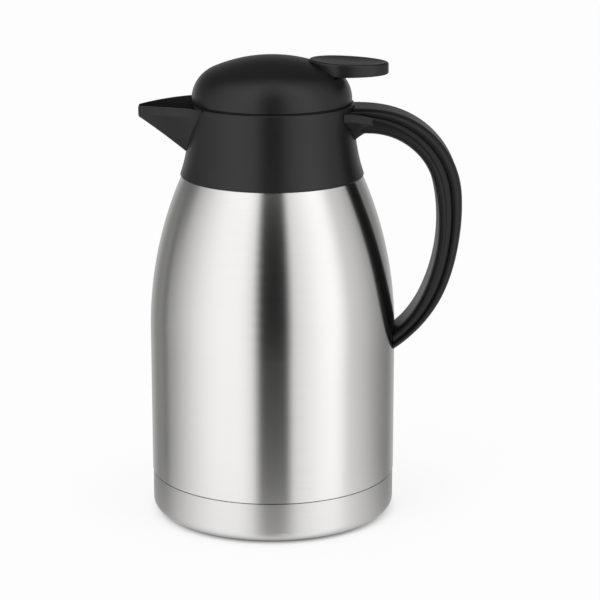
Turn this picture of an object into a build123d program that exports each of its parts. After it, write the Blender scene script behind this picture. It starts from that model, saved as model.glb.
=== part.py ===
from build123d import *
import math
import os

os.makedirs("parts", exist_ok=True)

# A vacuum-insulated carafe with a screw-in lid and a thumb lever, in millimetres.
# Frame: +Z up, Z = 0 on the resting surface, the vessel's own axis on X = Y = 0,
# the spout towards -X and the handle towards +X.

# ---- steel vessel ---------------------------------------------------------------------
body_radius = 72.5
straight_top = 110.2  # where the straight wall turns into the long shoulder curve
shoulder_arc = 229.6
shoulder_round = 9.0
shoulder_flat_z = 208.4  # top of the shell's shoulder, hidden by the collar
shell_wall = 0.7
vacuum_gap = 4.5
flask_wall = 0.6
floor_vacuum_gap = 6.3
flask_corner = 16.0
neck_radius = 37.5
neck_vacuum_gap = 1.2
neck_round = 2.4
flask_neck_round = 4.0
neck_rise = 10.6  # from the shoulder's flat top to the pouring mouth
lip_radius = 39.6
lip_thick = 0.7

# ---- base -----------------------------------------------------------------------------
base_seam_z = 24.3
base_seam_gap = 0.7
base_step = 0.3  # the base cup is this much smaller than the body
base_wall = 0.8
base_corner = 6.0
base_recess_radius = 52.0
base_recess_depth = 1.8
base_recess_slope = 2.0
base_foot_z = 0.3  # the steel rim stays this far above the resting surface
pad_radius = 46.0
pad_edge = 0.5
skirt_fit = 0.2  # the shell's skirt inside the base cup
skirt_depth = 12.3  # the jacket's foot reaches this far below the base seam
closure_fit = 0.05
closure_rise = 4.0
closure_flat_radius = 60.0
getter_radius = 9.0
getter_height = 2.6
plug_radius = 3.0
plug_height = 1.8

# ---- collar ---------------------------------------------------------------------------
collar_overlap = 5.4  # the collar hangs this far below the shoulder's flat top
collar_rise = 26.7  # from the steel mouth up to the collar's top
collar_foot_radius = 53.7
collar_low_waist_radius = 51.2
collar_low_waist_rise = 9.3
collar_waist_radius = 49.2
collar_waist_rise = 20.0
collar_top_radius = 47.9
collar_wall = 2.4
collar_edge = 0.45
collar_foot_ease = 0.8  # height of the slope at the collar's foot
skirt_clearance = 0.15  # the collar's skirt over the steel shoulder
skirt_land = 3.5
chamber_depth = 12.7
chamber_floor_wall = 2.0
throat_radius = 40.2
throat_wall = 2.6
ledge_radius = 36.6
ledge_wall = 2.0
mouth_seal_height = 1.4
mouth_seal_radius = 39.4

# ---- collar clamp ---------------------------------------------------------------------
clamp_height = 4.0
clamp_gap = 0.1
clamp_fit = 0.3
clamp_radius = 46.4
clamp_screw_circle = 44.3
clamp_screw_count = 3
boss_radius = 2.9
screw_shank = 1.5
screw_fit = 0.05
screw_head_radius = 2.7
screw_head_height = 1.6
screw_grip = 7.0
drive_radius = 1.1
drive_depth = 1.0

# ---- spout ----------------------------------------------------------------------------
spout_sink = 7.9  # the spout's root starts this far inside the collar
spout_mid_reach = 12.1
spout_reach = 29.6
spout_root_half = 28.0
spout_root_flank = 23.6  # half width under the lip band
spout_mid_half = 18.0
spout_mid_flank = 16.6
spout_tip_half = 3.7
spout_rim_drop = 1.6
spout_tip_round = 0.7
spout_band = 4.9  # upright lip band round the rim
spout_tip_height = 6.2
spout_tip_band = 4.6
keel_root_drop = 37.1
keel_mid_drop = 20.7
keel_half = 2.0
spout_wall = 1.8
channel_step = 0.2  # rise from the chamber's floor into the channel
channel_mid_drop = 9.9
channel_tip_depth = 0.7
channel_knee_share = 0.75  # depth at which the channel's sides turn in, against its depth
channel_taper = 0.7  # narrowing of the sides per depth, below the lip band
channel_floor_share = 0.78  # the floor's width against the sides' at the knee

# ---- screw thread between stopper and collar --------------------------------------------
thread_lead = 24.0
thread_starts = 3
thread_depth = 1.5
thread_root = 3.4
thread_crest = 1.8
thread_bite = 0.8  # how far each ridge's root is sunk in its wall
stopper_thread_arc = 84.0
collar_thread_arc = 70.0
collar_thread_lag = 36.0  # degrees by which the collar's ridges start earlier
stopper_thread_rise = 1.9

# ---- lid cap --------------------------------------------------------------------------
lid_seam_gap = 0.6
cap_inset = 1.27  # the cap is this much smaller than the collar's top
cap_belt = 1.44
cap_shoulder = 19.35
cap_crown = 88.2
cap_wall = 2.4
cap_edge = 0.4
cap_boss_circle = 32.5
cap_boss_radius = 3.4
cap_boss_count = 3

# ---- thumb lever ------------------------------------------------------------------------
paddle_inner_x = 21.3
paddle_wide_x = 41.0
paddle_tip_x = 67.7
paddle_half = 18.5
paddle_sink = 1.63  # the paddle's inner end lies this far below the cap's crown
paddle_fall = 2.1
paddle_thick = 6.6
paddle_top_edge = 1.3
paddle_under_edge = 0.8
dish_depth = 0.9
dish_half_length = 21.0
dish_half_width = 15.5
hollow_start_x = 47.0
hollow_wall = 2.2
hollow_roof = 2.4
hollow_rib = 1.4
hollow_rib_y = 5.5
press_angle = 7.0
pivot_x = 36.0
pivot_rise = 7.7
pin_radius = 1.5
pin_fit = 0.05
pin_grip = 0.02
hub_radius = 4.2
hub_half = 6.4
web_low_x = 31.6
web_high_x = 38.2
web_half = 5.0
ear_gap = 0.4
ear_thick = 3.0
ear_low_x = 31.5
ear_high_x = 39.0
arm_half = 5.0
arm_rise = 0.5
arm_thick = 3.6
arm_eye_radius = 7.2
arm_hole_radius = 3.6
pocket_clearance = 0.55
pocket_floor_gap = 0.9
pocket_floor_wall = 1.8
pocket_side_wall = 1.8
slot_clearance = 0.6
slot_throw = 1.0  # how far the web swings outwards at the pocket's floor

# ---- stopper ----------------------------------------------------------------------------
flange_radius = 45.0
flange_thick = 2.6
flange_rim_thick = 1.2
seal_seat_radius = 42.4
seal_seat_drop = 3.7
cage_radius = 38.3
cage_wall = 2.2
cage_gap = 0.4  # stopper's threaded part above the collar's ledge
window_sill = 3.0
window_lintel = 1.5
window_count = 6
window_width = 24.0
window_corner = 2.0
skirt_radius = 33.2
step_radius = 36.0
step_rise = 2.4
plug_depth = 11.0  # the stopper's skirt reaches this far below the mouth
floor_thick = 2.2
port_radius = 13.0
seat_width = 2.0
seat_height = 1.0
seal_gap = 0.3

# ---- valve ------------------------------------------------------------------------------
stem_radius = 2.5
stem_fit = 0.06
stem_foot_radius = 7.0
stem_foot_height = 1.3
disc_radius = 17.5
disc_thick = 2.0
disc_seal_thick = 1.5
disc_hub_radius = 4.4
disc_hub_height = 5.0
head_radius = 5.6
head_height = 1.6
head_play = 0.3
guide_radius = 6.2
guide_length = 5.0
clip_radius = 4.0
clip_thick = 0.8
clip_groove = 0.5
stem_tail = 1.2
wiper_height = 2.2
wiper_radius = 4.2
spring_radius = 5.4
spring_wire = 0.45
spring_turns = 5.5
spring_seat_gap = 0.05

# ---- lid seal ---------------------------------------------------------------------------
lid_seal_height = 2.0
lid_seal_gap = 0.3

# ---- handle -----------------------------------------------------------------------------
# Outlines in the X-Z plane: a start, a heading in degrees, then tangent arcs that all
# turn clockwise, each as (radius, degrees).
handle_root_sink = 0.9
handle_drop = 2.1
handle_outer_heading = 3.2
handle_outer_lead = 7.0  # straight start inside the collar
handle_outer_arcs = ((77.5, 16.1), (54.2, 74.5), (141.8, 19.5), (79.7, 42.5))
handle_inner_reach = 6.1
handle_inner_drop = 17.1
handle_inner_heading = 2.8
handle_inner_arcs = ((39.4, 79.2), (103.0, 38.4), (62.1, 46.0))
handle_inner_lead = 12.0
handle_stations = 15
grip_half = 15.6
cover_half = 16.0
cover_share = 0.385  # depth of the cover's edge as a share of the handle's thickness
cover_share_root = 0.13
cover_blend = 0.45  # share of the length over which the root's section changes
cover_round = 0.8  # share of the cover's thickness taken by its outer rounding
cover_shoulder = 6.0
cover_gap = 0.1
groove_width = 1.0
groove_depth = 1.4
flank_share = 0.17  # sloping flank between the groove and the grip's widest line
flank_least = 0.4
flank_lean = 0.8
grip_shoulder = 7.0
root_sink = 7.9  # the root's flare starts this far inside the collar
root_neck = 1.0
root_reach = 12.1
root_side = 4.6  # height of the flare's upright side
root_half = 26.0
root_drop = 3.1
root_keel_half = 9.0
root_keel_drop = 32.3
root_neck_half = 19.8
root_neck_drop = 4.4
root_neck_keel_half = 9.5
root_neck_keel_drop = 20.1
root_blend_half = 14.6
root_blend_drop = 7.4
root_blend_keel_half = 8.0
root_blend_keel_drop = 15.4
saddle_gap = 0.15
lug_reach = 11.1
lug_half = 6.5
lug_drop = 11.3
lug_thick = 4.0
lug_fit = 0.2
top_screw_margin = 5.4
top_screw_floor = 1.9
bracket_thick = 1.2
bracket_half = 9.0
bracket_height = 3.6
tongue_out = 12.245  # from the steel wall out to the tongue's screw
tongue_level = 0.72  # depth of the tongue's middle as a share of the thickness
tongue_tail = 5.0  # the tongue's length beyond its screw
tongue_half = 6.0
tongue_thick = 1.2
tongue_fit = 0.15
low_screw_sink = 1.9
low_screw_cover = 0.8

# ---- levels and places that follow -------------------------------------------------------
rim_z = shoulder_flat_z + neck_rise
skirt_bottom = base_seam_z - skirt_depth
closure_top = skirt_bottom + closure_rise + shell_wall
flask_floor_z = closure_top + floor_vacuum_gap
base_radius = body_radius - base_step
collar_bottom = shoulder_flat_z - collar_overlap
collar_top = rim_z + collar_rise
chamber_floor_z = collar_top - chamber_depth
spout_root_x = spout_sink - collar_top_radius
spout_mid_x = -collar_top_radius - spout_mid_reach
spout_tip_x = -collar_top_radius - spout_reach
cap_radius = collar_top_radius - cap_inset
cap_low_z = collar_top + lid_seam_gap
cap_belt_z = cap_low_z + cap_belt
pivot_z = cap_low_z + pivot_rise
arm_top_z = pivot_z + arm_rise
lug_reach_x = collar_top_radius + lug_reach
lug_high_z = collar_top - lug_drop
lug_low_z = lug_high_z - lug_thick
top_screw_x = lug_reach_x - top_screw_margin
top_screw_seat_z = lug_high_z + top_screw_floor
handle_outer_start = (collar_top_radius - handle_root_sink, collar_top - handle_drop)
handle_inner_start = (
    collar_top_radius + handle_inner_reach,
    collar_top - handle_inner_drop,
)
beyond = 2 * (collar_top + body_radius)  # past every outline, for cutting tools


# ---- shared shapes ----------------------------------------------------------------------
def revolved(edges):
    """Solid of revolution from a closed outline of (radius, height) edges."""
    return revolve(Plane.XZ * make_face(edges), Axis.Z)


def turned(*points):
    """Solid of revolution from the corners of a closed outline."""
    return revolved(Polyline(*points, close=True))


def tube(outer, inner, low, high):
    """Upright ring or sleeve on the carafe's axis."""
    return turned((inner, low), (outer, low), (outer, high), (inner, high))


def disc(radius, low, high):
    """Upright round disc on the carafe's axis."""
    return Pos(0, 0, low) * extrude(Circle(radius), high - low)


def block(low, high):
    """Box between two opposite corners."""
    size = [b - a for a, b in zip(low, high)]
    centre = [(a + b) / 2 for a, b in zip(low, high)]
    return Pos(*centre) * Box(*size)


def ring_places(radius, count, start=60.0):
    """Places evenly spaced round the carafe's axis."""
    for index in range(count):
        angle = math.radians(start + index * 360 / count)
        yield Pos(radius * math.cos(angle), radius * math.sin(angle), 0)


def screw(head_radius, shank_radius, grip):
    """Pan-head screw: the head stands above Z = 0 and the shank hangs below it."""
    head = extrude(Circle(head_radius), screw_head_height)
    head = fillet(head.edges().group_by(Axis.Z)[-1], 0.5)
    shank = Pos(0, 0, -grip) * extrude(Circle(shank_radius), grip)
    shank = chamfer(shank.edges().group_by(Axis.Z)[0], 0.3)
    drive = extrude(RegularPolygon(drive_radius, 6), -drive_depth)
    return head + shank - Pos(0, 0, screw_head_height) * drive


def arc_chain(start, heading, arcs):
    """Tangent arcs that turn clockwise, each given as (radius, degrees)."""
    edges = []
    point = Vector(*start)
    for radius, sweep in arcs:
        angle = math.radians(heading)
        direction = (math.cos(angle), math.sin(angle))
        edge = JernArc(point, direction, radius, -sweep)
        edges.append(edge)
        point = edge @ 1
        heading -= sweep
    return edges


def thread_ridge(wall_radius, outwards, low_z, arc, start):
    """One ridge of the coarse thread, on a round wall, standing outwards or inwards."""
    side = 1 if outwards else -1
    path = Helix(pitch=thread_lead, height=thread_lead * arc / 360, radius=wall_radius)
    section = make_face(
        Polyline(
            (-side * thread_bite, -thread_root / 2),
            (0, -thread_root / 2),
            (side * thread_depth, -thread_crest / 2),
            (side * thread_depth, thread_crest / 2),
            (0, thread_root / 2),
            (-side * thread_bite, thread_root / 2),
            close=True,
        )
    )
    seat = Plane(origin=path @ 0, x_dir=(1, 0, 0), z_dir=path % 0)
    ridge = sweep(seat * section, path=path, is_frenet=True)
    return Pos(0, 0, low_z) * Rot(0, 0, start) * ridge


# ---- vessel -----------------------------------------------------------------------------
flask_inset = shell_wall + vacuum_gap
shoulder_centre = (body_radius - shoulder_arc, straight_top)
round_z = shoulder_flat_z - shoulder_round
round_x = shoulder_centre[0] + math.sqrt(
    (shoulder_arc - shoulder_round) ** 2 - (round_z - straight_top) ** 2
)
round_angle = math.degrees(
    math.atan2(round_z - straight_top, round_x - shoulder_centre[0])
)
flask_neck_radius = neck_radius - shell_wall - neck_vacuum_gap
mouth_radius = flask_neck_radius - flask_wall
lip_low_z = rim_z - lip_thick
skirt_outer = base_radius - base_wall - skirt_fit
skirt_inner = skirt_outer - shell_wall
shelf_z = base_seam_z + base_seam_gap / 2


def shell_radius(z):
    """Outer radius of the steel body on its long shoulder curve."""
    return shoulder_centre[0] + math.sqrt(shoulder_arc**2 - (z - straight_top) ** 2)


def wall_curve(inset, neck, corner, low_z, top_z):
    """One face of the vessel's wall, from its straight part up to the neck's end."""
    side = body_radius - inset
    flat_z = shoulder_flat_z - inset
    return [
        Line((side, low_z), (side, straight_top)),
        CenterArc(shoulder_centre, shoulder_arc - inset, 0, round_angle),
        CenterArc(
            (round_x, round_z), shoulder_round - inset, round_angle, 90 - round_angle
        ),
        Line((round_x, flat_z), (neck + corner, flat_z)),
        CenterArc((neck + corner, flat_z + corner), corner, 270, -90),
        Line((neck, flat_z + corner), (neck, top_z)),
    ]


def make_outer_shell():
    """Outer steel jacket, joggled in at its foot so the base cup lies flush."""
    neck_inner = neck_radius - shell_wall
    outside = wall_curve(0, neck_radius, neck_round, shelf_z, lip_low_z)
    inside = wall_curve(
        shell_wall,
        neck_inner,
        neck_round + shell_wall,
        shelf_z + shell_wall,
        lip_low_z,
    )
    foot = Polyline(
        (body_radius, shelf_z),
        (skirt_outer, shelf_z),
        (skirt_outer, skirt_bottom),
        (skirt_inner, skirt_bottom),
        (skirt_inner, shelf_z + shell_wall),
        (body_radius - shell_wall, shelf_z + shell_wall),
    )
    top = Line((neck_radius, lip_low_z), (neck_inner, lip_low_z))
    return revolved([*outside, *inside, *foot.edges(), top])


def make_inner_flask():
    """Inner steel flask, open at the mouth, with the lip that closes the jacket."""
    edges = []
    for inset, neck, corner, floor_z, bend, top_z in (
        (
            flask_inset,
            flask_neck_radius,
            flask_neck_round,
            flask_floor_z,
            flask_corner,
            lip_low_z,
        ),
        (
            flask_inset + flask_wall,
            mouth_radius,
            flask_neck_round + flask_wall,
            flask_floor_z + flask_wall,
            flask_corner - flask_wall,
            rim_z,
        ),
    ):
        side = body_radius - inset
        edges += wall_curve(inset, neck, corner, floor_z + bend, top_z)
        edges.append(Line((0, floor_z), (side - bend, floor_z)))
        edges.append(CenterArc((side - bend, floor_z + bend), bend, 270, 90))
    edges.append(Line((0, flask_floor_z), (0, flask_floor_z + flask_wall)))
    lip = Polyline(
        (flask_neck_radius, lip_low_z),
        (lip_radius, lip_low_z),
        (lip_radius, rim_z),
        (mouth_radius, rim_z),
    )
    return revolved([*edges, *lip.edges()])


def make_vacuum_closure():
    """Dished plate welded into the foot of the jacket."""
    low = skirt_bottom
    high = skirt_bottom + closure_rise
    edge = skirt_inner - closure_fit
    flat = closure_flat_radius
    return turned(
        (0, high),
        (flat, high),
        (flat + closure_rise, low),
        (edge, low),
        (edge, low + shell_wall),
        (flat + closure_rise + shell_wall / 2, low + shell_wall),
        (flat + shell_wall / 2, high + shell_wall),
        (0, high + shell_wall),
    )


def make_getter():
    """Gas-absorbing pellet on the closure plate, inside the vacuum."""
    return chamfer(
        disc(getter_radius, closure_top, closure_top + getter_height)
        .edges()
        .group_by(Axis.Z)[-1],
        0.5,
    )


def make_vacuum_plug():
    """Bead that seals the pumping hole under the closure plate."""
    under = skirt_bottom + closure_rise
    bead = disc(plug_radius, under - plug_height, under)
    return fillet(bead.edges().group_by(Axis.Z)[0], plug_height * 0.8)


def make_base_cup():
    """Steel cup round the foot of the jacket, recessed underneath for the pad."""
    top = base_seam_z - base_seam_gap / 2
    low = base_foot_z
    bend = (base_radius - base_corner, low + base_corner)
    recess = base_recess_radius
    inner = recess - base_recess_slope
    shift = base_wall / 2
    edges = [
        CenterArc(bend, base_corner, 270, 90),
        CenterArc(bend, base_corner - base_wall, 270, 90),
        *Polyline(
            (base_radius, bend[1]),
            (base_radius, top),
            (base_radius - base_wall, top),
            (base_radius - base_wall, bend[1]),
        ).edges(),
        *Polyline(
            (bend[0], low),
            (recess, low),
            (inner, base_recess_depth),
            (0, base_recess_depth),
            (0, base_recess_depth + base_wall),
            (inner + shift, base_recess_depth + base_wall),
            (recess + shift, low + base_wall),
            (bend[0], low + base_wall),
        ).edges(),
    ]
    return revolved(edges)


def make_base_pad():
    """Non-slip pad bonded in the base cup's recess; the carafe stands on it."""
    pad = disc(pad_radius, 0, base_recess_depth)
    return chamfer(pad.edges().group_by(Axis.Z)[0], pad_edge)


# ---- collar -----------------------------------------------------------------------------
ledge_low_z = rim_z + mouth_seal_height
ledge_top_z = ledge_low_z + ledge_wall
chamber_under_z = chamber_floor_z - chamber_floor_wall
chamber_top_radius = collar_top_radius - collar_wall
chamber_floor_radius = chamber_top_radius + 0.8
clamp_top_z = lip_low_z - clamp_gap
clamp_low_z = clamp_top_z - clamp_height


def collar_envelope(grow=0.0):
    """Solid inside the collar's outer surface, grown outwards by a clearance."""
    foot = collar_foot_radius + grow
    top = collar_top_radius + grow
    side = Spline(
        (foot, collar_bottom + collar_foot_ease),
        (collar_low_waist_radius + grow, collar_bottom + collar_low_waist_rise),
        (collar_waist_radius + grow, collar_bottom + collar_waist_rise),
        (top, collar_top - collar_edge),
    )
    ends = Polyline(
        (top, collar_top - collar_edge),
        (top - collar_edge, collar_top),
        (0, collar_top),
        (0, collar_bottom),
        (foot - collar_edge, collar_bottom),
        (foot, collar_bottom + collar_foot_ease),
    )
    return revolved([side, *ends.edges()])


def collar_cavity():
    """Everything hollow inside the collar: pouring chamber, throat and dry space."""
    chamber = turned(
        (0, chamber_floor_z),
        (chamber_floor_radius, chamber_floor_z),
        (chamber_top_radius, collar_top),
        (chamber_top_radius, collar_top + 1),
        (0, collar_top + 1),
    )
    throat = disc(throat_radius, ledge_top_z, chamber_floor_z + 1)
    mouth = disc(ledge_radius, ledge_low_z - 1, ledge_top_z + 1)
    land_z = collar_bottom + skirt_land
    inner_low = collar_low_waist_radius - collar_wall
    inner_waist = collar_waist_radius - collar_wall
    dry = turned(
        (0, collar_bottom - 1),
        (shell_radius(collar_bottom) + skirt_clearance, collar_bottom - 1),
        (shell_radius(collar_bottom) + skirt_clearance, collar_bottom),
        (shell_radius(land_z) + skirt_clearance, land_z),
        (inner_low, collar_bottom + collar_low_waist_rise),
        (inner_waist, collar_bottom + collar_waist_rise),
        (inner_waist, chamber_under_z),
        (throat_radius + throat_wall, chamber_under_z),
        (throat_radius + throat_wall, ledge_low_z),
        (0, ledge_low_z),
    )
    return chamber + throat + mouth + dry


def rim_height(x):
    """Height of the spout's rim, which bends down towards the tip."""
    run = (x + collar_top_radius) / (spout_tip_x + collar_top_radius)
    return collar_top - spout_rim_drop * max(run, 0.0) ** 2


def cross_section(x, points):
    """Closed section across the X axis from (half width, height) points, top first."""
    right = [(half, z) for half, z in points]
    left = [(-half, z) for half, z in reversed(points)]
    plane = Plane(origin=(x, 0, 0), x_dir=(0, 1, 0), z_dir=(1, 0, 0))
    return plane * make_face(Polyline(*right, *left, close=True))


def spout_solid():
    """Beak-shaped spout: an upright lip band over sides that taper to a keel."""
    mid_z = rim_height(spout_mid_x)
    tip_z = rim_height(spout_tip_x)

    def section(x, half, top, band, flank, keel_z):
        points = ((half, top), (flank, top - band), (keel_half, keel_z))
        return cross_section(x, points)

    solid = loft(
        [
            section(
                spout_root_x,
                spout_root_half,
                collar_top,
                spout_band,
                spout_root_flank,
                collar_top - keel_root_drop,
            ),
            section(
                spout_mid_x,
                spout_mid_half,
                mid_z,
                spout_band,
                spout_mid_flank,
                collar_top - keel_mid_drop,
            ),
            section(
                spout_tip_x,
                spout_tip_half,
                tip_z,
                spout_tip_band,
                spout_tip_half,
                tip_z - spout_tip_height,
            ),
        ]
    )
    nose = solid.faces().sort_by(Axis.X)[0]
    return fillet(nose.edges(), spout_tip_round)


def spout_channel():
    """Open channel from the pouring chamber to the tip, one wall inside the spout."""
    mid_z = rim_height(spout_mid_x)
    tip_z = rim_height(spout_tip_x)

    def section(x, half, flank, top, floor):
        knee_drop = channel_knee_share * (top - floor)
        inner_half = half - spout_wall
        knee_half = flank - spout_wall - channel_taper * max(0, knee_drop - spout_band)
        points = ((inner_half, top + 3), (inner_half, top), (knee_half, top - knee_drop))
        return cross_section(x, (*points, (channel_floor_share * knee_half, floor)))

    return loft(
        [
            section(
                spout_root_x,
                spout_root_half,
                spout_root_flank,
                collar_top,
                chamber_floor_z + channel_step,
            ),
            section(
                spout_mid_x,
                spout_mid_half,
                spout_mid_flank,
                mid_z,
                collar_top - channel_mid_drop,
            ),
            section(
                spout_tip_x - 1,
                spout_tip_half,
                spout_tip_half,
                tip_z,
                tip_z - channel_tip_depth,
            ),
        ]
    )


def handle_lug(grow=0.0):
    """Tongue on the collar that the handle slides over, grown by a clearance."""
    return block(
        (chamber_top_radius, -lug_half - grow, lug_low_z - grow),
        (lug_reach_x + grow, lug_half + grow, lug_high_z + grow),
    )


def make_collar():
    """Moulded collar with the spout, the threaded throat and the handle's lug."""
    bosses = [
        place * disc(boss_radius, lip_low_z, chamber_under_z + 0.5)
        for place in ring_places(clamp_screw_circle, clamp_screw_count)
    ]
    pilot_top = lip_low_z + screw_grip + 1
    pilots = [
        place * disc(screw_shank + screw_fit, lip_low_z - 1, pilot_top)
        for place in ring_places(clamp_screw_circle, clamp_screw_count)
    ]
    body = collar_envelope() + spout_solid() + handle_lug()
    body = body - collar_cavity() - spout_channel()
    body = body + bosses - pilots
    pilot_low = Pos(top_screw_x, 0, 0) * disc(
        screw_shank + screw_fit, lug_low_z - 1, lug_high_z + 1
    )
    body = body - pilot_low
    pitch = thread_lead / thread_starts
    low_z = cage_low_z + stopper_thread_rise + pitch / 2 - thread_lead * collar_thread_lag / 360
    for index in range(thread_starts):
        start = index * 360 / thread_starts - collar_thread_lag
        body = body + thread_ridge(
            throat_radius, False, low_z, collar_thread_arc, start
        )
    return body


def make_mouth_seal():
    """Flat silicone ring between the steel lip and the collar's ledge."""
    return tube(mouth_seal_radius, ledge_radius, rim_z, ledge_low_z)


def make_clamp_ring():
    """Ring under the steel lip that draws the collar down on the flask."""
    ring = tube(clamp_radius, neck_radius + clamp_fit, clamp_low_z, clamp_top_z)
    holes = [
        place * disc(screw_shank + screw_fit, clamp_low_z - 1, clamp_top_z + 1)
        for place in ring_places(clamp_screw_circle, clamp_screw_count)
    ]
    return ring - holes


def make_clamp_screws():
    """Screws from below through the clamp ring into the collar's bosses."""
    one = Rot(180, 0, 0) * screw(
        clamp_radius - clamp_screw_circle, screw_shank, clamp_height + screw_grip
    )
    return Compound(
        [
            place * Pos(0, 0, clamp_low_z) * one
            for place in ring_places(clamp_screw_circle, clamp_screw_count)
        ]
    )


# ---- lid cap ----------------------------------------------------------------------------
crown_z = cap_belt_z - math.sqrt(
    (cap_crown - cap_shoulder) ** 2 - (cap_radius - cap_shoulder) ** 2
)
crown_angle = math.degrees(
    math.atan2(cap_belt_z - crown_z, cap_radius - cap_shoulder)
)
cap_apex = crown_z + cap_crown
paddle_inner_top = cap_apex - paddle_sink
paddle_tip_top = paddle_inner_top - paddle_fall
paddle_under_z = paddle_tip_top - paddle_thick
pocket_floor_z = paddle_under_z - pocket_floor_gap
hub_slot_x = (web_low_x - slot_clearance, web_high_x + slot_clearance + slot_throw)


def dome(inset):
    """Solid inside the cap's outer surface, or inside a surface inset from it."""
    side = cap_radius - inset
    edge = cap_edge if inset == 0 else 0
    edges = [
        CenterArc((cap_radius - cap_shoulder, cap_belt_z), cap_shoulder - inset, 0, crown_angle),
        CenterArc((0, crown_z), cap_crown - inset, crown_angle, 90 - crown_angle),
        Line((0, cap_apex - inset), (0, cap_low_z)),
        Line((0, cap_low_z), (side - edge, cap_low_z)),
        Line((side, cap_low_z + edge), (side, cap_belt_z)),
    ]
    if edge:
        edges.append(Line((side - edge, cap_low_z), (side, cap_low_z + edge)))
    return revolved(edges)


def paddle_outline(grow=0.0):
    """Egg-shaped plan of the paddle: two half ellipses joined at its widest line."""
    centre = (paddle_wide_x, 0)
    inner = paddle_wide_x - paddle_inner_x + grow
    outer = paddle_tip_x - paddle_wide_x + grow
    half = paddle_half + grow
    return make_face(
        [
            EllipticalCenterArc(centre, inner, half, start_angle=90, arc_size=180),
            EllipticalCenterArc(centre, outer, half, start_angle=270, arc_size=180),
        ]
    )


def upright(outline, low, high):
    """Plan outline raised between two heights."""
    return Pos(0, 0, low) * extrude(outline, high - low)


def make_lid_cap():
    """Domed cap with the lever's pocket, the pin's ears and three screw bosses."""
    roof = dome(cap_wall)
    top_z = cap_apex
    housing_low = pocket_floor_z - pocket_floor_wall
    kept = upright(
        paddle_outline(pocket_clearance + pocket_side_wall), housing_low, top_z
    )
    for side in (-1, 1):
        near = side * (hub_half + ear_gap)
        far = side * (hub_half + ear_gap + ear_thick)
        kept = kept + block(
            (ear_low_x, min(near, far), pivot_z - hub_radius),
            (ear_high_x, max(near, far), housing_low + 1),
        )
    for place in ring_places(cap_boss_circle, cap_boss_count):
        kept = kept + place * disc(cap_boss_radius, cap_low_z, top_z)
    cap = dome(0) - (roof - kept)
    cap = cap - upright(paddle_outline(pocket_clearance), pocket_floor_z, top_z + 1)
    cap = cap - block(
        (hub_slot_x[0], -hub_half - ear_gap, housing_low - 1),
        (hub_slot_x[1], hub_half + ear_gap, pocket_floor_z + 1),
    )
    reach = hub_half + ear_gap + ear_thick + 1
    cap = cap - Pos(pivot_x, 0, pivot_z) * Rot(90, 0, 0) * Cylinder(
        pin_radius + pin_grip, 2 * reach
    )
    pilots = [
        place * disc(screw_shank + screw_fit, cap_low_z - 1, cap_low_z + screw_grip)
        for place in ring_places(cap_boss_circle, cap_boss_count)
    ]
    return cap - pilots


# ---- thumb lever ------------------------------------------------------------------------
paddle_slope = math.degrees(
    math.atan2(paddle_inner_top - paddle_tip_top, paddle_tip_x - paddle_inner_x)
)


def paddle_slab():
    """Oval paddle with a sloping dished top and a cored-out underside."""
    slab = upright(paddle_outline(), paddle_under_z, paddle_inner_top + 2)
    slope = Pos(paddle_inner_x, 0, paddle_inner_top) * Rot(0, paddle_slope, 0)
    above = slope * Pos(0, 0, beyond / 2) * Box(beyond, beyond, beyond)
    slab = slab - above
    middle_z = paddle_under_z + paddle_thick / 2
    rims = slab.edges().filter_by(lambda edge: edge.length > paddle_half)
    slab = fillet(rims.filter_by(lambda edge: edge.center().Z > middle_z), paddle_top_edge)
    lows = slab.edges().filter_by(
        lambda edge: abs(edge.center().Z - paddle_under_z) < 0.01
    )
    slab = fillet(lows, paddle_under_edge)
    return slab - slope * dish() - paddle_hollow()


def dish():
    """Lens-shaped tool that hollows the paddle's top, lying on the plane Z = 0."""
    long_arc = (dish_half_length**2 + dish_depth**2) / (2 * dish_depth)
    height = (dish_half_width**2 - dish_depth**2) / (2 * dish_depth)
    centre_x = (paddle_tip_x - paddle_inner_x) / 2
    lens = make_face(
        [
            ThreePointArc(
                (centre_x - dish_half_length, 0),
                (centre_x, -dish_depth),
                (centre_x + dish_half_length, 0),
            ),
            *Polyline(
                (centre_x + dish_half_length, 0),
                (centre_x + dish_half_length, height),
                (centre_x - dish_half_length, height),
                (centre_x - dish_half_length, 0),
            ).edges(),
        ]
    )
    axis = Axis((0, 0, height), (1, 0, 0))
    return revolve(Plane.XZ * lens, axis)


def paddle_hollow():
    """Coring under the overhanging half of the paddle, split by two ribs."""
    plan = paddle_outline(-hollow_wall)
    keep = Pos(hollow_start_x + beyond / 2, 0) * Rectangle(beyond, beyond)
    cored = upright(plan & keep, paddle_under_z - 1, paddle_tip_top - hollow_roof)
    for side in (-1, 1):
        cored = cored - Pos(0, side * hollow_rib_y, 0) * Box(beyond, hollow_rib, 3 * beyond)
    return cored


def lever_arm():
    """Arm from the hub to the eye round the valve stem, with a relieved top."""
    low = arm_top_z - arm_thick
    relief = arm_eye_radius * math.tan(math.radians(press_angle))
    side = make_face(
        Polyline(
            (pivot_x, low),
            (pivot_x, arm_top_z),
            (0, arm_top_z),
            (-arm_eye_radius, arm_top_z - relief),
            (-arm_eye_radius, low),
            close=True,
        )
    )
    bar = extrude(Plane.XZ * side, amount=arm_eye_radius, both=True)
    reach = Pos(pivot_x / 2, 0) * Rectangle(pivot_x, 2 * arm_half)
    plan = Circle(arm_eye_radius) + reach - Circle(arm_hole_radius)
    return bar & upright(plan, low - 1, arm_top_z + 1)


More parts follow.
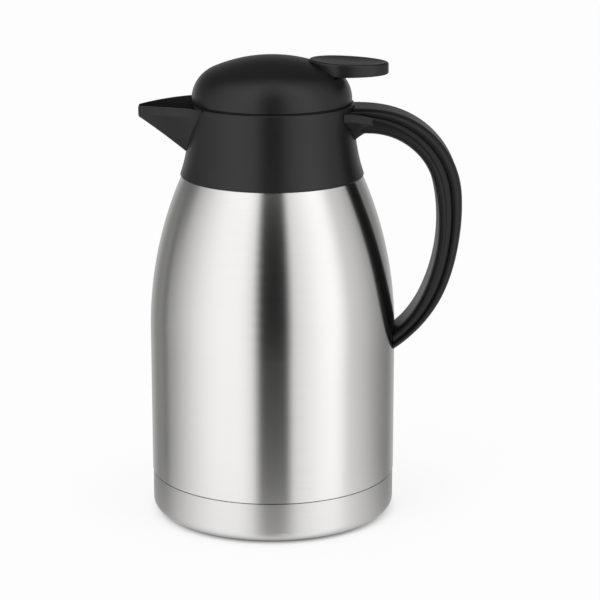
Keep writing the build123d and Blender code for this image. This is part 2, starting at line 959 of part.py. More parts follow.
def make_thumb_lever():
    """Paddle, web, hub and arm, all one moulding."""
    web = block(
        (web_low_x, -web_half, pivot_z), (web_high_x, web_half, paddle_under_z + 0.5)
    )
    hub = Pos(pivot_x, 0, pivot_z) * Rot(90, 0, 0) * Cylinder(hub_radius, 2 * hub_half)
    bore = Pos(pivot_x, 0, pivot_z) * Rot(90, 0, 0) * Cylinder(
        pin_radius + pin_fit, 2 * hub_half + 2
    )
    return paddle_slab() + web + hub + lever_arm() - bore


def make_lever_pin():
    """Steel pin through both ears and the lever's hub."""
    length = 2 * (hub_half + ear_gap + ear_thick)
    pin = Pos(pivot_x, 0, pivot_z) * Rot(90, 0, 0) * Cylinder(pin_radius, length)
    return chamfer(pin.edges().filter_by(GeomType.CIRCLE), 0.3)


# ---- stopper ----------------------------------------------------------------------------
flange_low_z = cap_low_z - flange_thick
plug_low_z = rim_z - plug_depth
step_low_z = rim_z + step_rise
window_low_z = chamber_floor_z + window_sill
window_high_z = flange_low_z - window_lintel
rim_low_z = cap_low_z - flange_rim_thick
cage_low_z = ledge_top_z + cage_gap
seat_top_z = plug_low_z + floor_thick + seat_height
guide_low_z = flange_low_z - guide_length
guide_bore = stem_radius + stem_fit
wiper_low_z = cap_low_z - wiper_height


def make_stopper():
    """Stopper: flange, windowed cage, threaded waist and plug skirt with the port."""
    inner = cage_radius - cage_wall
    skirt_inside = skirt_radius - cage_wall
    floor_top = plug_low_z + floor_thick
    body = turned(
        (port_radius, plug_low_z),
        (skirt_radius, plug_low_z),
        (skirt_radius, step_low_z),
        (step_radius, step_low_z),
        (step_radius, cage_low_z),
        (cage_radius, cage_low_z),
        (cage_radius, cap_low_z - seal_seat_drop),
        (seal_seat_radius, cap_low_z - seal_seat_drop),
        (seal_seat_radius, rim_low_z),
        (flange_radius, rim_low_z),
        (flange_radius, cap_low_z),
        (wiper_radius + stem_fit, cap_low_z),
        (wiper_radius + stem_fit, wiper_low_z),
        (guide_bore, wiper_low_z),
        (guide_bore, guide_low_z),
        (guide_radius, guide_low_z),
        (guide_radius, flange_low_z),
        (inner, flange_low_z),
        (inner, cage_low_z + cage_wall),
        (skirt_inside, cage_low_z + cage_wall),
        (skirt_inside, floor_top),
        (port_radius + seat_width, floor_top),
        (port_radius + seat_width, seat_top_z),
        (port_radius, seat_top_z),
    )
    window = RectangleRounded(
        window_width, window_high_z - window_low_z, window_corner
    )
    window = extrude(Plane.YZ * window, cage_radius + 2)
    middle = (window_low_z + window_high_z) / 2
    for index in range(window_count):
        turn = index * 360 / window_count
        body = body - Rot(0, 0, turn) * Pos(guide_radius + 4, 0, middle) * window
    holes = [
        place * disc(screw_shank + screw_fit, flange_low_z - 1, cap_low_z + 1)
        for place in ring_places(cap_boss_circle, cap_boss_count)
    ]
    body = body - holes
    for index in range(thread_starts):
        body = body + thread_ridge(
            cage_radius,
            True,
            cage_low_z + stopper_thread_rise,
            stopper_thread_arc,
            index * 360 / thread_starts,
        )
    return body


def make_stopper_seal():
    """Silicone ring under the stopper's step, closing on the steel lip."""
    return tube(step_radius, skirt_radius + 0.2, rim_z + seal_gap, step_low_z)


def make_lid_screws():
    """Screws from inside the cage through the flange into the cap's bosses."""
    one = Rot(180, 0, 0) * screw(
        screw_head_radius, screw_shank, flange_thick + screw_grip - 1
    )
    return Compound(
        [
            place * Pos(0, 0, flange_low_z) * one
            for place in ring_places(cap_boss_circle, cap_boss_count)
        ]
    )


def make_lid_seal():
    """Ring that closes the top of the pouring chamber round the stopper's flange."""
    top = rim_low_z - lid_seal_gap
    return tube(
        chamber_top_radius - lid_seal_gap,
        seal_seat_radius + lid_seal_gap,
        top - lid_seal_height,
        top,
    )


def make_stem_wiper():
    """Small silicone bush that keeps liquid out of the cap."""
    return tube(wiper_radius, stem_radius + seal_gap, wiper_low_z, cap_low_z)


# ---- valve ------------------------------------------------------------------------------
disc_seal_low = seat_top_z + seal_gap
disc_low_z = disc_seal_low + disc_seal_thick
disc_top_z = disc_low_z + disc_thick
head_low_z = arm_top_z + head_play
head_top_z = head_low_z + head_height
stem_top_z = head_top_z + clip_thick + stem_tail


def make_valve_stem():
    """Stem with a foot under the valve seal and a clip groove near its top."""
    foot_low = disc_seal_low - stem_foot_height
    groove = stem_radius - clip_groove
    return turned(
        (0, foot_low),
        (stem_foot_radius, foot_low),
        (stem_foot_radius, disc_seal_low),
        (stem_radius, disc_seal_low),
        (stem_radius, head_top_z),
        (groove, head_top_z),
        (groove, head_top_z + clip_thick),
        (stem_radius, head_top_z + clip_thick),
        (stem_radius, stem_top_z),
        (0, stem_top_z),
    )


def make_valve_seal():
    """Silicone washer that closes on the port's seat."""
    return tube(disc_radius - 0.5, stem_radius + stem_fit, disc_seal_low, disc_low_z)


def make_valve_disc():
    """Stiff disc over the seal, with a hub that centres the spring."""
    plate = turned(
        (stem_radius + stem_fit, disc_low_z),
        (disc_radius, disc_low_z),
        (disc_radius, disc_top_z),
        (disc_hub_radius, disc_top_z),
        (disc_hub_radius, disc_top_z + disc_hub_height),
        (stem_radius + stem_fit, disc_top_z + disc_hub_height),
    )
    return plate


def make_stem_button():
    """Button on the stem that the lever's eye lifts."""
    return tube(head_radius, stem_radius + stem_fit, head_low_z, head_top_z)


def make_stem_clip():
    """Spring clip in the stem's groove, open on one side."""
    groove = stem_radius - clip_groove + stem_fit
    ring = tube(clip_radius, groove, head_top_z, head_top_z + clip_thick)
    mouth = block(
        (0, -groove * 0.8, head_top_z - 1), (clip_radius + 1, groove * 0.8, stem_top_z)
    )
    return ring - mouth


def make_valve_spring():
    """Compression spring between the valve disc and the stopper's guide."""
    low = disc_top_z + spring_wire + spring_seat_gap
    high = guide_low_z - spring_wire - spring_seat_gap
    path = Helix(
        pitch=(high - low) / spring_turns, height=high - low, radius=spring_radius
    )
    wire = Plane(origin=path @ 0, z_dir=path % 0) * Circle(spring_wire)
    return Pos(0, 0, low) * sweep(wire, path=path, is_frenet=True)


# ---- handle -----------------------------------------------------------------------------
def handle_line(start, heading, lead, arcs):
    """Outline in the X-Z plane: a straight lead inside the collar, then the arcs."""
    angle = math.radians(heading)
    before = (start[0] - lead * math.cos(angle), start[1] - lead * math.sin(angle))
    return Wire([*Line(before, start).edges(), *arc_chain(start, heading, arcs)])


outer_line = handle_line(
    handle_outer_start, handle_outer_heading, handle_outer_lead, handle_outer_arcs
)
inner_line = handle_line(
    handle_inner_start, handle_inner_heading, handle_inner_lead, handle_inner_arcs
)


def handle_station(share):
    """Plane across the handle at a share of its length, and its thickness there.

    The plane's X runs across the handle and its Y points out of the hand's side.
    """
    point = outer_line @ share
    along = outer_line % share
    thickness = inner_line.distance_to(Vertex(point.X, point.Y, 0))
    plane = Plane(
        origin=(point.X, 0, point.Y), x_dir=(0, 1, 0), z_dir=(along.X, 0, along.Y)
    )
    return plane, thickness


def root_ease(share):
    """Rises from 0 at the root to 1 where the handle's section is fully formed."""
    return 1 - max(0.0, 1 - share / cover_blend) ** 2


def handle_loft(section):
    """Smooth solid through one section per station along the handle."""
    sections = []
    for index in range(handle_stations):
        share = index / (handle_stations - 1)
        plane, thickness = handle_station(share)
        sections.append(plane * section(thickness, root_ease(share)))
    return loft(sections)


def cover_depth(thickness, ease):
    """Depth of the cover's edge below the handle's outer line."""
    share = cover_share_root + (cover_share - cover_share_root) * ease
    return share * thickness


def cover_section(thickness, ease):
    """Cover's section: flat against the body, broadly rounded on the outside."""
    depth = cover_depth(thickness, ease)
    rise = cover_round * depth
    flat = cover_half - cover_shoulder
    return make_face(
        [
            Line((cover_half, -depth), (cover_half, -rise)),
            EllipticalCenterArc((flat, -rise), cover_shoulder, rise, 0, arc_size=90),
            Line((flat, 0), (-flat, 0)),
            EllipticalCenterArc((-flat, -rise), cover_shoulder, rise, 90, arc_size=90),
            Line((-cover_half, -rise), (-cover_half, -depth)),
            Line((-cover_half, -depth), (cover_half, -depth)),
        ]
    )


def grip_section(thickness, ease):
    """Body's section: a groove beside the cover, sloping flanks, a rounded hand side."""
    depth = cover_depth(thickness, ease) + cover_gap
    step = depth + groove_width
    ridge = step + flank_least + flank_share * ease * thickness
    flat = grip_half - grip_shoulder
    neck = grip_half - groove_depth
    lean = grip_half - flank_lean
    rise = thickness - ridge
    return make_face(
        [
            *Polyline(
                (-grip_half, -ridge),
                (-lean, -step),
                (-neck, -step),
                (-neck, -depth),
                (neck, -depth),
                (neck, -step),
                (lean, -step),
                (grip_half, -ridge),
            ).edges(),
            EllipticalCenterArc((flat, -ridge), grip_shoulder, rise, 270, arc_size=90),
            Line((flat, -thickness), (-flat, -thickness)),
            EllipticalCenterArc((-flat, -ridge), grip_shoulder, rise, 180, arc_size=90),
        ]
    )


def cover_room(thickness, ease):
    """Section of the room that the cover takes, with its clearance."""
    depth = cover_depth(thickness, ease) + cover_gap
    return Pos(0, (1 - depth) / 2) * Rectangle(
        2 * (cover_half + saddle_gap), 1 + depth
    )


def steel_wall(gap):
    """Cylinder of the vessel's wall, grown by a gap."""
    return disc(body_radius + gap, base_seam_z, collar_bottom)


def handle_root():
    """Flared root that spreads the handle's load over the collar."""

    def section(reach, half, drop, keel_width, keel_drop):
        top = collar_top - drop
        keel = (keel_width, collar_top - keel_drop)
        return cross_section(
            collar_top_radius + reach, ((half, top), (half, top - root_side), keel)
        )

    return loft(
        [
            section(-root_sink, root_half, root_drop, root_keel_half, root_keel_drop),
            section(
                root_neck,
                root_neck_half,
                root_neck_drop,
                root_neck_keel_half,
                root_neck_keel_drop,
            ),
            section(
                root_reach,
                root_blend_half,
                root_blend_drop,
                root_blend_keel_half,
                root_blend_keel_drop,
            ),
        ]
    )


def lower_share(x):
    """Share of the handle's length at which its lower half comes in to an X."""
    low, high = 0.5, 1.0
    for _ in range(40):
        middle = (low + high) / 2
        if (outer_line @ middle).X > x:
            low = middle
        else:
            high = middle
    return low


tongue_plane, tongue_depth = handle_station(lower_share(body_radius + tongue_out))
tongue_line = -tongue_level * tongue_depth
tongue_start = tongue_plane.origin + tongue_plane.y_dir * tongue_line
tongue_run = (tongue_start.X - body_radius) / -tongue_plane.z_dir.X
tongue_root_z = tongue_start.Z + tongue_plane.z_dir.Z * tongue_run


def tongue_box(grow):
    """Straight tongue inside the handle's lower end, grown by a clearance."""
    low = -tongue_tail - grow
    high = tongue_run + bracket_height / 2
    box = Box(2 * (tongue_half + grow), tongue_thick + 2 * grow, high - low)
    return tongue_plane * Pos(0, tongue_line, (low + high) / 2) * box


def bracket_plate(grow):
    """Curved plate on the steel wall, grown by a clearance."""
    low = tongue_root_z - bracket_height / 2 - grow
    plate = disc(
        body_radius + bracket_thick + grow, low, low + bracket_height + 2 * grow
    )
    half = bracket_half + grow
    return plate & block((0, -half, 0), (2 * body_radius, half, collar_bottom))


low_screw_seat = -cover_share * tongue_depth - cover_gap - low_screw_sink
low_screw_place = tongue_plane * Pos(0, low_screw_seat, 0) * Rot(-90, 0, 0)
low_screw_grip = tongue_depth + low_screw_seat - low_screw_cover


def make_handle_bracket():
    """Steel bracket spot-welded to the jacket: a curved plate with a tongue."""
    hole = low_screw_place * Cylinder(screw_shank + screw_fit, 2 * tongue_depth)
    return bracket_plate(0) + tongue_box(0) - steel_wall(closure_fit) - hole


def make_handle_body():
    """Grip: a strip with rounded hand side, a flared root and both fixing seats."""
    strip = handle_loft(grip_section)
    body = strip + handle_root() - handle_loft(cover_room)
    body = body - collar_envelope(saddle_gap)
    body = body - steel_wall(saddle_gap) - bracket_plate(tongue_fit)
    body = body - tongue_box(tongue_fit) - handle_lug(lug_fit)
    top_hole = Pos(top_screw_x, 0, 0)
    body = body - top_hole * disc(
        screw_shank + screw_fit, lug_high_z, top_screw_seat_z + 1
    )
    body = body - top_hole * disc(
        screw_head_radius + tongue_fit, top_screw_seat_z, handle_outer_start[1]
    )
    sink = extrude(Circle(screw_head_radius + tongue_fit), 2 * tongue_depth)
    body = body - low_screw_place * sink
    shank = Pos(0, 0, -low_screw_grip - screw_fit) * extrude(
        Circle(screw_shank + screw_fit), low_screw_grip + 1
    )
    return body - low_screw_place * shank


def make_handle_cover():
    """Cover that closes the outside of the grip and hides both screws."""
    cover = handle_loft(cover_section)
    return cover - collar_envelope(saddle_gap) - steel_wall(saddle_gap)


def make_handle_top_screw():
    """Screw down through the handle's root into the collar's lug."""
    grip = top_screw_seat_z - lug_low_z - screw_fit
    return Pos(top_screw_x, 0, top_screw_seat_z) * screw(
        screw_head_radius, screw_shank, grip
    )


def make_handle_low_screw():
    """Screw through the grip and the bracket's tongue."""
    return low_screw_place * screw(screw_head_radius, screw_shank, low_screw_grip)


# ---- nodes ------------------------------------------------------------------------------
nodes = {
    "outer_shell": make_outer_shell,
    "inner_flask": make_inner_flask,
    "vacuum_closure": make_vacuum_closure,
    "getter": make_getter,
    "vacuum_plug": make_vacuum_plug,
    "base_cup": make_base_cup,
    "base_pad": make_base_pad,
    "collar": make_collar,
    "mouth_seal": make_mouth_seal,
    "clamp_ring": make_clamp_ring,
    "clamp_screws": make_clamp_screws,
    "handle_bracket": make_handle_bracket,
    "handle_body": make_handle_body,
    "handle_cover": make_handle_cover,
    "handle_top_screw": make_handle_top_screw,
    "handle_low_screw": make_handle_low_screw,
    "lid_seal": make_lid_seal,
    "lid_cap": make_lid_cap,
    "lid_screws": make_lid_screws,
    "lever_pin": make_lever_pin,
    "stopper": make_stopper,
    "stopper_seal": make_stopper_seal,
    "stem_wiper": make_stem_wiper,
    "valve_spring": make_valve_spring,
    "valve_stem": make_valve_stem,
    "valve_disc": make_valve_disc,
    "valve_seal": make_valve_seal,
    "stem_button": make_stem_button,
    "stem_clip": make_stem_clip,
    "thumb_lever": make_thumb_lever,
}
for name, make in nodes.items():
    export_step(make(), f"parts/{name}.step")
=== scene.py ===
import math

import bpy
from mathutils import Matrix, Vector


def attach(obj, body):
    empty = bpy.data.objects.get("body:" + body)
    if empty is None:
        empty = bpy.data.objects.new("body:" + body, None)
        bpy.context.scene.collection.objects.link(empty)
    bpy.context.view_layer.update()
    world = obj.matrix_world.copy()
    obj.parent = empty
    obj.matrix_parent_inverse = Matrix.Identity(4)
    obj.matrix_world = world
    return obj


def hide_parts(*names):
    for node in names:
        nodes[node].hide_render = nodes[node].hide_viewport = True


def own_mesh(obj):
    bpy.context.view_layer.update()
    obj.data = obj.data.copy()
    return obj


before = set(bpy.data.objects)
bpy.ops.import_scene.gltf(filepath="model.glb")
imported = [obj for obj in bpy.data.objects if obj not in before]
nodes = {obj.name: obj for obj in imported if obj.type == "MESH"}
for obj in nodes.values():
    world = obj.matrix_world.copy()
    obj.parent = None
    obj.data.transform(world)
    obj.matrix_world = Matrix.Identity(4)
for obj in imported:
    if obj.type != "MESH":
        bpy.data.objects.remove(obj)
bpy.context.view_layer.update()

# ---- finishes -------------------------------------------------------------------------
# Lengths are in metres and colours are linear. Noise scales are in cells per metre.
STEEL = (0.56, 0.555, 0.545)
EDGE_TONE = 0.72  # how much of the light steel returns where it's seen edge-on
# Brush marks, as (cells per radian round the axis, cells per metre up it, detail)
FINE_BRUSHING = (2.2, 5200, 2.0)
COARSE_BRUSHING = (0.8, 1300, 3.0)
BRUSHED_CLOUDS = (0.5, 18, 1.0)
FINE_SHARE, COARSE_SHARE, CLOUD_SHARE = 0.6, 0.4, 0.3
BRUSHED_TONE = (0.91, 0.14)  # darkest, and how far the marks lighten it
BRUSH_TURN = 0.25  # turns from the tangent to the way the reflection stretches
METAL_DEPTH = 0.00002  # of brush marks and clouds, as bump

CLOUDY_SCALE, CLOUDY_DETAIL = 220.0, 4.0
CLOUDY_TONES = ((0.3, 0.88), (0.7, 1.0))  # as (noise, share of the tone)
CLOUDY_ROUGHNESS = 0.2  # how far the clouds spread it
CLOUDY_BUMP = 0.4

BLACK = (0.0085, 0.0087, 0.0091)
GRAIN_DETAIL, GRAIN_DEPTH = 3.0, 0.00006
GRAIN_SHARE = 0.5  # of the grain in tone and roughness; the clouds have the rest
MOULD_SCALE, MOULD_DETAIL = 35.0, 3.0  # of the clouds in moulded plastic
MOULD_TONES = ((0.35, 0.86), (0.65, 1.12))  # as (noise, share of the tone)
MOULD_EDGE = 0.0004  # radius that moulded edges seem to have
MOULD_EDGE_SAMPLES = 4
GRAIN_LOSS = 0.75  # share of its shine that grained plastic loses at a glancing angle
EDGE_START = 0.84  # how far a surface faces away where its outline starts to go dull
FINE_ROUGHNESS = 0.12  # how far brush marks and grain spread the roughness

# ---- studio values --------------------------------------------------------------------
WHITE_LEVEL = 0.982  # the studio's white, as the camera sees it
ROOM_LIGHT = 0.62  # the same light from all round, for shadows and dull surfaces

# The studio as shiny surfaces see it: a dim room with soft-edged bands of light. Each
# band is (dark until, full from, full until, dark from, level), at compass angles in
# degrees round the carafe, 0 towards the camera and positive towards the handle.
ROOM_LEVEL = 0.40
LIGHT_BANDS = {
    "left soft box": (-130, -48, -34, 6, 1.20),
    "right soft box": (-20, 30, 60, 138, 0.76),
    "right wash": (14, 58, 60, 80, 0.58),
}
BACK_WALL = (-1, 0, 20, 42, 0.38)  # measured from straight behind
DARK_FLAGS = {
    "camera gap": (-20, -9, 11, 21, 0.01),
    "left flag": (-129, -124, -120, -115, 0.30),
}
# How the room changes upwards, as (start, end, change), by the upward part of a
# direction. The soft boxes are brighter near their tops, and the gap between them closes.
HIGH_GAIN = (0.42, 0.75, 0.10)
GAP_FADE = (0.58, 0.80, 0.60)
# The wall behind is dim, from its foot to its top.
REAR = (0.15, 0.50)  # where it starts, by the backward part of a direction
REAR_START = (0.02, 0.14)  # where it starts, by the upward part
REAR_LEVELS = (0.22, 0.50, 0.27, 0.09)  # foot, top, level at the foot, level at the top

# Shares of the white table, each as (metres from the carafe's axis, share): what is lit
# by the room and takes shadow, and what shiny surfaces show of it.
SHADOW_SHARE = ((0.0685, 0.85), (0.075, 0.15), (0.13, 0.04), (0.30, 0.0))
MIRROR_SHARE = (
    (0.0685, 0.95), (0.073, 0.45), (0.09, 0.45), (0.16, 0.20), (0.30, 0.09), (0.50, 0.0)
)
PAINTED_FOOT_SHADOW = ((0.0635, 0.08), (0.0685, 1.0))  # painted shadow: a dark ring painted on the table round the foot, as (metres from the axis, share of its light left)
SHADOW_LEAN = (0, 0.004, 0)  # the painted foot shadow and the table's shares lean towards the camera
MIRROR_REAR = (-0.08, 0.03, 0.10)  # start and end, by Y, and what is left of it there
TABLE_LEVEL = 1.3  # the lit table, as shiny surfaces see it
TABLE_HALF = 8.0

# Soft lamps, as (place, size, power). Neither camera nor mirror sees them.
LAMPS = {
    "key": ((-1.3, -1.4, 1.5), (1.2, 1.2), 22),
    "fill": ((1.6, -1.0, 1.1), (1.2, 1.2), 12),
}
LAMP_AIM = (0.02, 0, 0.15)

CAMERA_PLACE = (0, -1.2909, 0.468)
CAMERA_DOWN = 14.809  # degrees that it looks down
CAMERA_YAW = 0.724  # degrees that it turns towards the handle
LENS, SENSOR = 134.8, 36.0  # in millimetres
VIEW_END = 50.0


# ---- node helpers ---------------------------------------------------------------------
class Graph:
    """Short way to write a node tree."""

    def __init__(self, tree):
        self.tree = tree
        tree.nodes.clear()

    def add(self, kind, inputs=None, **settings):
        node = self.tree.nodes.new(kind)
        for key, value in settings.items():
            setattr(node, key, value)
        for key, value in (inputs or {}).items():
            self.plug(node.inputs[key], value)
        return node

    def plug(self, socket, value):
        if isinstance(value, bpy.types.NodeSocket):
            self.tree.links.new(value, socket)
        elif isinstance(value, bpy.types.Node):
            self.tree.links.new(value.outputs[0], socket)
        else:
            socket.default_value = value

    def math(self, operation, *values):
        node = self.add("ShaderNodeMath", operation=operation)
        for socket, value in zip(node.inputs, values):
            self.plug(socket, value)
        return node.outputs[0]

    def mix(self, share, low, high):
        inputs = {0: share, 2: low, 3: high}
        return self.add("ShaderNodeMix", inputs, data_type="FLOAT").outputs[0]

    def mix_shaders(self, share, first, second):
        inputs = {0: share, 1: first.outputs[0], 2: second.outputs[0]}
        return self.add("ShaderNodeMixShader", inputs)

    def map(self, value, start, end, low=0.0, high=1.0, shape="LINEAR"):
        inputs = {0: value, 1: start, 2: end, 3: low, 4: high}
        return self.add("ShaderNodeMapRange", inputs, interpolation_type=shape).outputs[0]

    def spread(self, noise, middle, width):
        return self.math("MULTIPLY_ADD", noise, width, middle - width / 2)

    def noise(self, place, scale, detail):
        inputs = {"Vector": place, "Scale": scale, "Detail": detail}
        return self.add("ShaderNodeTexNoise", inputs).outputs[0]

    def ramp(self, factor, stops):
        node = self.add("ShaderNodeValToRGB", {0: factor})
        points = node.color_ramp.elements
        while len(points) > 1:
            points.remove(points[-1])
        points[0].position = stops[0][0]
        points[0].color = colour(stops[0][1])
        for place, value in stops[1:]:
            points.new(place).color = colour(value)
        return node.outputs[0]

    def tones(self, noise, tone, shares):
        return self.ramp(noise, [(at, [c * share for c in tone]) for at, share in shares])

    def finish(self, shader):
        self.add("ShaderNodeOutputMaterial", {0: shader.outputs[0]})


def colour(value):
    if isinstance(value, (int, float)):
        return (value, value, value, 1)
    return (*value, 1)


def new_material(name):
    material = bpy.data.materials.new(name)
    material.use_nodes = True
    return material, Graph(material.node_tree)


# ---- materials ------------------------------------------------------------------------
def brushed_steel(name, tone, roughness, anisotropy, streaks):
    """Steel brushed round the Z axis: fine rings in the bump, roughness and tone."""
    material, g = new_material(name)
    place = g.add("ShaderNodeTexCoord").outputs["Object"]
    split = g.add("ShaderNodeSeparateXYZ", {0: place})
    turn = g.math("ARCTAN2", split.outputs[0], split.outputs[1])
    height = split.outputs[2]

    def rings(per_radian, per_metre, detail):
        along = g.math("MULTIPLY", turn, per_radian)
        up = g.math("MULTIPLY", height, per_metre)
        return g.noise(g.add("ShaderNodeCombineXYZ", {0: along, 2: up}), 1.0, detail)

    fine = g.math("MULTIPLY", rings(*FINE_BRUSHING), FINE_SHARE)
    coarse = g.math("MULTIPLY", rings(*COARSE_BRUSHING), COARSE_SHARE)
    cloud = g.math("MULTIPLY", rings(*BRUSHED_CLOUDS), CLOUD_SHARE)
    marks = g.math("ADD", fine, coarse)
    bump = g.add("ShaderNodeBump", {"Height": marks, "Distance": METAL_DEPTH, "Strength": streaks})
    darkest, lift = BRUSHED_TONE
    light = g.math("MULTIPLY_ADD", g.math("ADD", marks, cloud), lift, darkest)
    base = g.add(
        "ShaderNodeMix", {0: 1.0, 6: (*tone, 1), 7: light}, data_type="RGBA", blend_type="MULTIPLY"
    )
    tangent = g.add("ShaderNodeTangent", direction_type="RADIAL", axis="Z")
    shader = g.add(
        "ShaderNodeBsdfPrincipled",
        {
            "Base Color": base.outputs[2],
            "Metallic": 1.0,
            "Roughness": g.spread(marks, roughness, FINE_ROUGHNESS),
            "Anisotropic": anisotropy,
            "Anisotropic Rotation": BRUSH_TURN,
            "Specular Tint": colour(EDGE_TONE),
            "Normal": bump.outputs[0],
            "Tangent": tangent.outputs[0],
        },
    )
    g.finish(shader)
    return material


def plain_steel(name, tone, roughness):
    """Drawn or turned steel with a faint cloudy finish."""
    material, g = new_material(name)
    place = g.add("ShaderNodeTexCoord").outputs["Object"]
    cloud = g.noise(place, CLOUDY_SCALE, CLOUDY_DETAIL)
    bump = g.add(
        "ShaderNodeBump", {"Height": cloud, "Distance": METAL_DEPTH, "Strength": CLOUDY_BUMP}
    )
    shader = g.add(
        "ShaderNodeBsdfPrincipled",
        {
            "Base Color": g.tones(cloud, tone, CLOUDY_TONES),
            "Metallic": 1.0,
            "Roughness": g.spread(cloud, roughness, CLOUDY_ROUGHNESS),
            "Normal": bump.outputs[0],
        },
    )
    g.finish(shader)
    return material


def moulded(name, tone, roughness, grain, depth, shine=0.5):
    """Moulded plastic or rubber: spark-eroded grain, slight tone and gloss changes.

    grain is in cells per metre, depth is its bump's strength, and shine is the
    reflection seen straight on.
    """
    material, g = new_material(name)
    place = g.add("ShaderNodeTexCoord").outputs["Object"]
    spark = g.noise(place, grain, GRAIN_DETAIL)
    cloud = g.noise(place, MOULD_SCALE, MOULD_DETAIL)
    grainy = g.math("MULTIPLY", spark, GRAIN_SHARE)
    mixed = g.math("MULTIPLY_ADD", cloud, 1 - GRAIN_SHARE, grainy)
    base = g.tones(mixed, tone, MOULD_TONES)
    soft = g.add("ShaderNodeBevel", {"Radius": MOULD_EDGE}, samples=MOULD_EDGE_SAMPLES)
    bump = g.add(
        "ShaderNodeBump",
        {
            "Height": spark,
            "Distance": GRAIN_DEPTH,
            "Strength": depth,
            "Normal": soft.outputs[0],
        },
    )
    facing = g.add("ShaderNodeLayerWeight", {"Blend": 0.5}).outputs["Facing"]
    shader = g.add(
        "ShaderNodeBsdfPrincipled",
        {
            "Base Color": base,
            "Roughness": g.spread(mixed, roughness, FINE_ROUGHNESS),
            "Specular IOR Level": g.math("MULTIPLY_ADD", facing, -GRAIN_LOSS * shine, shine),
            "Normal": bump.outputs[0],
        },
    )
    dull = g.add("ShaderNodeBsdfDiffuse", {0: base, "Normal": bump.outputs[0]})
    edge_loss = g.map(facing, EDGE_START, 1.0, high=GRAIN_LOSS)
    g.finish(g.mix_shaders(edge_loss, shader, dull))
    return material


def paint(material, *names):
    """Gives carried-over CAD nodes a material."""
    for name in names:
        mesh = nodes[name].data
        mesh.materials.clear()
        mesh.materials.append(material)


steel = brushed_steel("brushed_steel", STEEL, roughness=0.22, anisotropy=0.9, streaks=0.22)
steel_base = brushed_steel(
    "brushed_steel_base", STEEL, roughness=0.36, anisotropy=0.8, streaks=0.45
)
inner_steel = plain_steel("inner_steel", (0.52, 0.515, 0.51), roughness=0.3)
screw_steel = plain_steel("screw_steel", (0.48, 0.48, 0.485), roughness=0.26)
spring_steel = plain_steel("spring_steel", (0.42, 0.42, 0.43), roughness=0.3)
bead = plain_steel("seal_bead", (0.5, 0.42, 0.26), roughness=0.4)
pellet = plain_steel("getter_metal", (0.3, 0.3, 0.31), roughness=0.6)

outer_grain = {"roughness": 0.31, "grain": 3800.0, "depth": 0.3}
soft_grain = {"grain": 2600.0, "depth": 0.2}
black = moulded("black_plastic", BLACK, **outer_grain, shine=0.32)
handle_black = moulded("handle_plastic", BLACK, **outer_grain, shine=0.24)
inner_black = moulded("inner_plastic", (0.03, 0.03, 0.031), roughness=0.45, grain=3000.0, depth=0.3)
silicone = moulded("silicone", (0.62, 0.62, 0.6), roughness=0.5, **soft_grain)
dark_silicone = moulded("dark_silicone", (0.02, 0.02, 0.02), roughness=0.55, **soft_grain)
pad = moulded("pad_rubber", (0.035, 0.035, 0.035), roughness=0.7, grain=2200.0, depth=0.6)

paint(steel, "outer_shell")
paint(steel_base, "base_cup")
paint(inner_steel, "inner_flask", "vacuum_closure", "handle_bracket", "valve_stem")
paint(screw_steel, "clamp_screws", "handle_top_screw", "handle_low_screw")
paint(screw_steel, "lid_screws", "lever_pin")
paint(spring_steel, "valve_spring", "stem_clip")
paint(bead, "vacuum_plug")
paint(pellet, "getter")
paint(black, "collar", "lid_cap", "thumb_lever")
paint(handle_black, "handle_body", "handle_cover")
paint(inner_black, "clamp_ring", "stopper", "valve_disc", "stem_button")
paint(dark_silicone, "lid_seal")
paint(silicone, "mouth_seal", "stopper_seal", "stem_wiper", "valve_seal")
paint(pad, "base_pad")


# ---- the valve's spring ---------------------------------------------------------------
def closing_spring():
    """The valve's spring again, as a copy that rides with the lid, with the original hidden."""
    coil = bpy.data.objects.new("valve_coil", nodes["valve_spring"].data.copy())
    bpy.context.scene.collection.objects.link(coil)
    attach(coil, "lid")
    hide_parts("valve_spring")
    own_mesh(coil)


closing_spring()


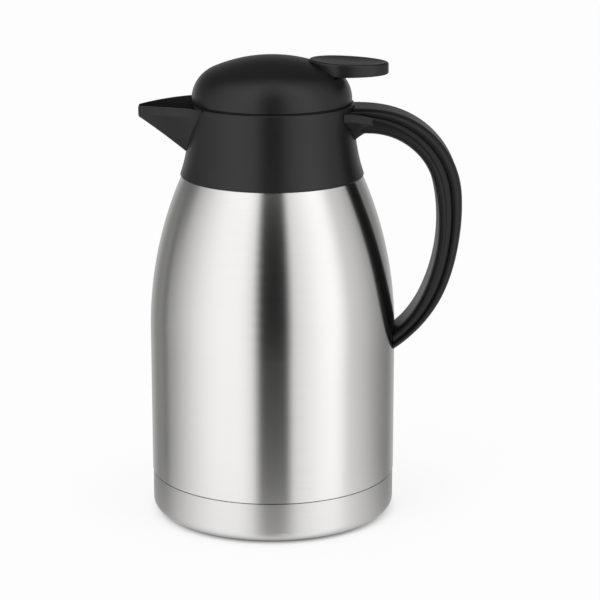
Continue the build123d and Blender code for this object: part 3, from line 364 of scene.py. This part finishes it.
# ---- studio ---------------------------------------------------------------------------
def studio_world():
    """White room for the camera, and the ring of lights for shiny surfaces."""
    world = bpy.data.worlds.new("studio")
    world.use_nodes = True
    bpy.context.scene.world = world
    g = Graph(world.node_tree)
    way = g.add("ShaderNodeTexCoord").outputs["Generated"]
    split = g.add("ShaderNodeSeparateXYZ", {0: way})
    aside, back, up = split.outputs
    turn = g.math("ARCTAN2", aside, g.math("MULTIPLY", back, -1.0))
    degrees = g.math("MULTIPLY", turn, 180 / math.pi)

    def fade(value, start, end):
        return g.map(value, start, end, shape="SMOOTHSTEP")

    def band(angle, dark_until, full_from, full_until, dark_from):
        rise = fade(angle, dark_until, full_from)
        fall = fade(angle, dark_from, full_until)
        return g.math("MULTIPLY", rise, fall)

    from_behind = g.math("SUBTRACT", 180.0, g.math("ABSOLUTE", degrees))
    *edges, level = BACK_WALL
    ring = g.math("MULTIPLY_ADD", band(from_behind, *edges), level, ROOM_LEVEL)
    for *edges, level in LIGHT_BANDS.values():
        ring = g.math("MULTIPLY_ADD", band(degrees, *edges), level, ring)
    *heights, gain = HIGH_GAIN
    ring = g.math("MULTIPLY", ring, g.math("MULTIPLY_ADD", fade(up, *heights), gain, 1.0))
    *heights, closed = GAP_FADE
    kept = g.math("MULTIPLY_ADD", fade(up, *heights), -closed, 1.0)
    for *edges, level in DARK_FLAGS.values():
        ring = g.mix(g.math("MULTIPLY", band(degrees, *edges), kept), ring, level)
    rear = g.math("MULTIPLY", fade(back, *REAR), fade(up, *REAR_START))
    shiny = g.mix(rear, ring, g.map(up, *REAR_LEVELS))

    light = g.add("ShaderNodeLightPath")
    seen = g.math("MAXIMUM", light.outputs["Is Camera Ray"], light.outputs["Is Transmission Ray"])
    unseen = g.mix(light.outputs["Is Glossy Ray"], ROOM_LIGHT, shiny)
    level = g.mix(seen, unseen, WHITE_LEVEL)
    ground = g.add("ShaderNodeBackground", {0: colour(1), 1: level})
    g.add("ShaderNodeOutputWorld", {0: ground.outputs[0]})


def studio_floor():
    """Wide pale floor that keeps the carafe's shadow and fades into the white room."""
    corners = [(x * TABLE_HALF, y * TABLE_HALF, 0) for x, y in ((-1, -1), (1, -1), (1, 1), (-1, 1))]
    mesh = bpy.data.meshes.new("floor")
    mesh.from_pydata(corners, [], [(0, 1, 2, 3)])
    floor = bpy.data.objects.new("floor", mesh)
    bpy.context.scene.collection.objects.link(floor)

    material, g = new_material("floor")
    place = g.add("ShaderNodeTexCoord").outputs["Object"]
    leaned = g.add("ShaderNodeVectorMath", {0: place, 1: SHADOW_LEAN})
    reach = g.add("ShaderNodeVectorMath", {0: leaned}, operation="LENGTH").outputs["Value"]
    share = g.ramp(reach, SHADOW_SHARE)
    # painted shadow: a dark ring round the foot darkens the floor's dull colour and the table that
    # shiny surfaces see
    foot_shadow_paint = g.ramp(reach, PAINTED_FOOT_SHADOW)
    dull = g.add("ShaderNodeBsdfDiffuse", {0: g.math("MULTIPLY", share, foot_shadow_paint)})
    glow = g.add("ShaderNodeEmission", {0: colour(1), 1: g.math("SUBTRACT", WHITE_LEVEL, share)})
    seen = g.add("ShaderNodeAddShader", {0: dull.outputs[0], 1: glow.outputs[0]})

    back = g.add("ShaderNodeSeparateXYZ", {0: place}).outputs[1]
    start, end, left = MIRROR_REAR
    rear = g.map(back, start, end, 1.0, left)
    # the table as shiny surfaces see it, with the painted foot shadow in it
    table = g.add("ShaderNodeEmission", {0: colour(1), 1: g.math("MULTIPLY", foot_shadow_paint, TABLE_LEVEL)})
    clear = g.add("ShaderNodeBsdfTransparent")
    mirrored = g.mix_shaders(g.math("MULTIPLY", g.ramp(reach, MIRROR_SHARE), rear), clear, table)
    glossy = g.add("ShaderNodeLightPath").outputs["Is Glossy Ray"]
    g.finish(g.mix_shaders(glossy, seen, mirrored))
    mesh.materials.append(material)


def soft_box(name, place, size, power):
    """Large soft lamp that points at the middle of the carafe."""
    data = bpy.data.lights.new(name, "AREA")
    data.shape = "RECTANGLE"
    data.size, data.size_y = size
    data.energy = power
    lamp = bpy.data.objects.new(name, data)
    bpy.context.scene.collection.objects.link(lamp)
    lamp.location = place
    aim = Vector(LAMP_AIM) - Vector(place)
    lamp.rotation_euler = aim.to_track_quat("-Z", "Y").to_euler()
    lamp.visible_camera = False
    lamp.visible_glossy = False


def photo_camera():
    """Long lens, a little above the carafe and looking down on it."""
    data = bpy.data.cameras.new("camera")
    data.sensor_width = SENSOR
    data.lens = LENS
    data.clip_end = VIEW_END
    camera = bpy.data.objects.new("camera", data)
    bpy.context.scene.collection.objects.link(camera)
    down, yaw = math.radians(CAMERA_DOWN), math.radians(CAMERA_YAW)
    forward = Vector(
        (math.sin(yaw) * math.cos(down), math.cos(yaw) * math.cos(down), -math.sin(down))
    )
    right = Vector((math.cos(yaw), -math.sin(yaw), 0))
    up = right.cross(forward)
    turn = Matrix((right, up, -forward)).transposed()
    camera.matrix_world = Matrix.Translation(CAMERA_PLACE) @ turn.to_4x4()
    bpy.context.scene.camera = camera


studio_world()
studio_floor()
for name, (place, size, power) in LAMPS.items():
    soft_box(name, place, size, power)
photo_camera()
bpy.context.scene.view_settings.view_transform = "Standard"
